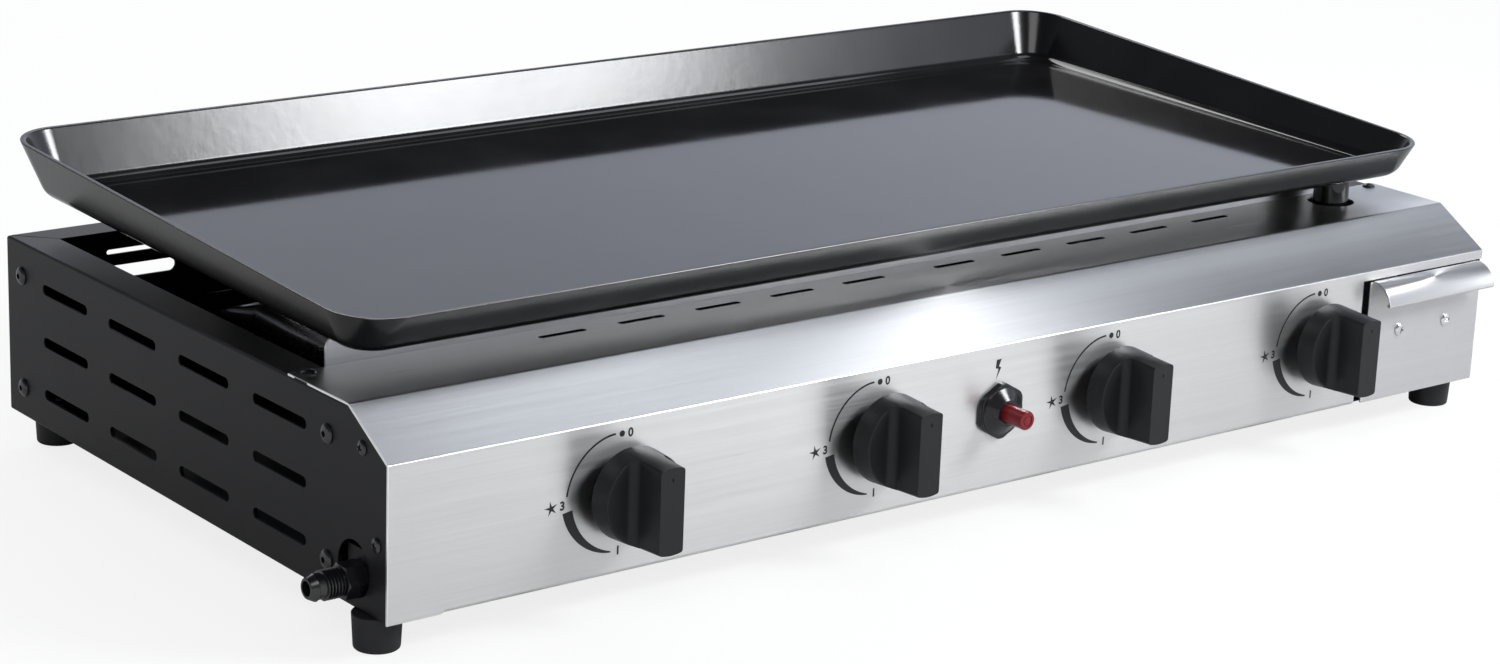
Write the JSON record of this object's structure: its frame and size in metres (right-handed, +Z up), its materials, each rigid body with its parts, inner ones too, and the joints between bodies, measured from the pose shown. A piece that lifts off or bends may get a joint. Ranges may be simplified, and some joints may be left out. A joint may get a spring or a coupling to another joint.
{
  "type": "gas grill",
  "caption": "Low table-top gas griddle: a flared plate with a raised back over tube burners in a slotted sheet metal body, with push-and-turn knobs, a push igniter and a pull-out grease drawer.",
  "frame": {"origin": "on the table, under the centre of the object's overall box", "axes": "+X along the front to the right as seen from the front, +Y to the back, +Z up"},
  "size_m": [0.8306, 0.458, 0.182],
  "materials": {
    "coated_steel": "satin black powder coat",
    "enamelled_steel": "gloss black enamel",
    "stainless_steel": "brushed along its length",
    "burner_steel": "drawn tube, a little dull",
    "zinc_plated_steel": "zinc plated",
    "blackened_steel": "black oxide",
    "brass": "machined",
    "black_plastic": "satin",
    "red_plastic": "gloss",
    "ceramic": "glazed",
    "lead_sleeve": "satin",
    "rubber": "matte"
  },
  "bodies": {
    "body": {"front_panel": "stainless_steel", "side_panel_left": "coated_steel", "side_panel_right": "coated_steel", "rear_panel": "coated_steel", "base_panel": "coated_steel", "front_bulkhead": "coated_steel", "griddle_support_left": "coated_steel", "griddle_support_right": "coated_steel", "burner_1": "burner_steel", "burner_2": "burner_steel", "burner_3": "burner_steel", "burner_4": "burner_steel", "burner_rail": "coated_steel", "manifold_pipe": "zinc_plated_steel", "gas_inlet": "blackened_steel", "inlet_lock_nut": "zinc_plated_steel", "inlet_bracket": "zinc_plated_steel", "valve_body_1": "brass", "valve_body_2": "brass", "valve_body_3": "brass", "valve_body_4": "brass", "gas_jets": "brass", "igniter_body": "black_plastic", "igniter_nut": "black_plastic", "igniter_spring": "zinc_plated_steel", "electrode_insulators": "ceramic", "electrode_pins": "zinc_plated_steel", "ignition_leads": "lead_sleeve", "drawer_runners": "zinc_plated_steel", "rubber_feet": "rubber", "foot_screws": "zinc_plated_steel", "side_bolts": "blackened_steel", "hex_nuts": "zinc_plated_steel", "panel_screws": "blackened_steel", "support_screws": "zinc_plated_steel"},
    "valve_plug_1": {"valve_plug_1": "brass", "valve_spring_1": "zinc_plated_steel"},
    "knob_1": {"spindle_1": "zinc_plated_steel", "knob_1": "black_plastic"},
    "valve_plug_2": {"valve_plug_2": "brass", "valve_spring_2": "zinc_plated_steel"},
    "knob_2": {"spindle_2": "zinc_plated_steel", "knob_2": "black_plastic"},
    "valve_plug_3": {"valve_plug_3": "brass", "valve_spring_3": "zinc_plated_steel"},
    "knob_3": {"spindle_3": "zinc_plated_steel", "knob_3": "black_plastic"},
    "valve_plug_4": {"valve_plug_4": "brass", "valve_spring_4": "zinc_plated_steel"},
    "knob_4": {"spindle_4": "zinc_plated_steel", "knob_4": "black_plastic"},
    "igniter_button": {"igniter_button": "red_plastic"},
    "drawer": {"grease_tray": "zinc_plated_steel", "drawer_front": "stainless_steel", "drawer_screws": "stainless_steel"},
    "griddle": {"griddle_plate": "enamelled_steel", "drain_spout": "enamelled_steel"}
  },
  "joints": [
    {"name": "knob_1_turn", "type": "hinge", "parent": "body", "child": "valve_plug_1", "pos_m": [-0.2444, -0.188, 0.0645], "axis": [0, -1, 0], "range_deg": [0, 180]},
    {"name": "knob_1_push", "type": "slide", "parent": "valve_plug_1", "child": "knob_1", "axis": [0, 1, 0], "range_m": [0, 0.003], "stiffness_N_per_m": 1500, "springref_m": -0.003, "deforming": ["valve_spring_1"]},
    {"name": "knob_2_turn", "type": "hinge", "parent": "body", "child": "valve_plug_2", "pos_m": [-0.073, -0.188, 0.0645], "axis": [0, -1, 0], "range_deg": [0, 180]},
    {"name": "knob_2_push", "type": "slide", "parent": "valve_plug_2", "child": "knob_2", "axis": [0, 1, 0], "range_m": [0, 0.003], "stiffness_N_per_m": 1500, "springref_m": -0.003, "deforming": ["valve_spring_2"]},
    {"name": "knob_3_turn", "type": "hinge", "parent": "body", "child": "valve_plug_3", "pos_m": [0.0984, -0.188, 0.0645], "axis": [0, -1, 0], "range_deg": [0, 180]},
    {"name": "knob_3_push", "type": "slide", "parent": "valve_plug_3", "child": "knob_3", "axis": [0, 1, 0], "range_m": [0, 0.003], "stiffness_N_per_m": 1500, "springref_m": -0.003, "deforming": ["valve_spring_3"]},
    {"name": "knob_4_turn", "type": "hinge", "parent": "body", "child": "valve_plug_4", "pos_m": [0.2698, -0.188, 0.0645], "axis": [0, -1, 0], "range_deg": [0, 180]},
    {"name": "knob_4_push", "type": "slide", "parent": "valve_plug_4", "child": "knob_4", "axis": [0, 1, 0], "range_m": [0, 0.003], "stiffness_N_per_m": 1500, "springref_m": -0.003, "deforming": ["valve_spring_4"]},
    {"name": "igniter_press", "type": "slide", "parent": "body", "child": "igniter_button", "axis": [0, 1, 0], "range_m": [0, 0.008], "stiffness_N_per_m": 700, "springref_m": -0.006, "deforming": ["igniter_spring"]},
    {"name": "drawer_slide", "type": "slide", "parent": "body", "child": "drawer", "axis": [0, -1, 0], "range_m": [0, 0.15]},
    {"name": "griddle_lift", "type": "slide", "parent": "body", "child": "griddle", "axis": [0, 0, 1], "range_m": [0, 0.12]}
  ]
}
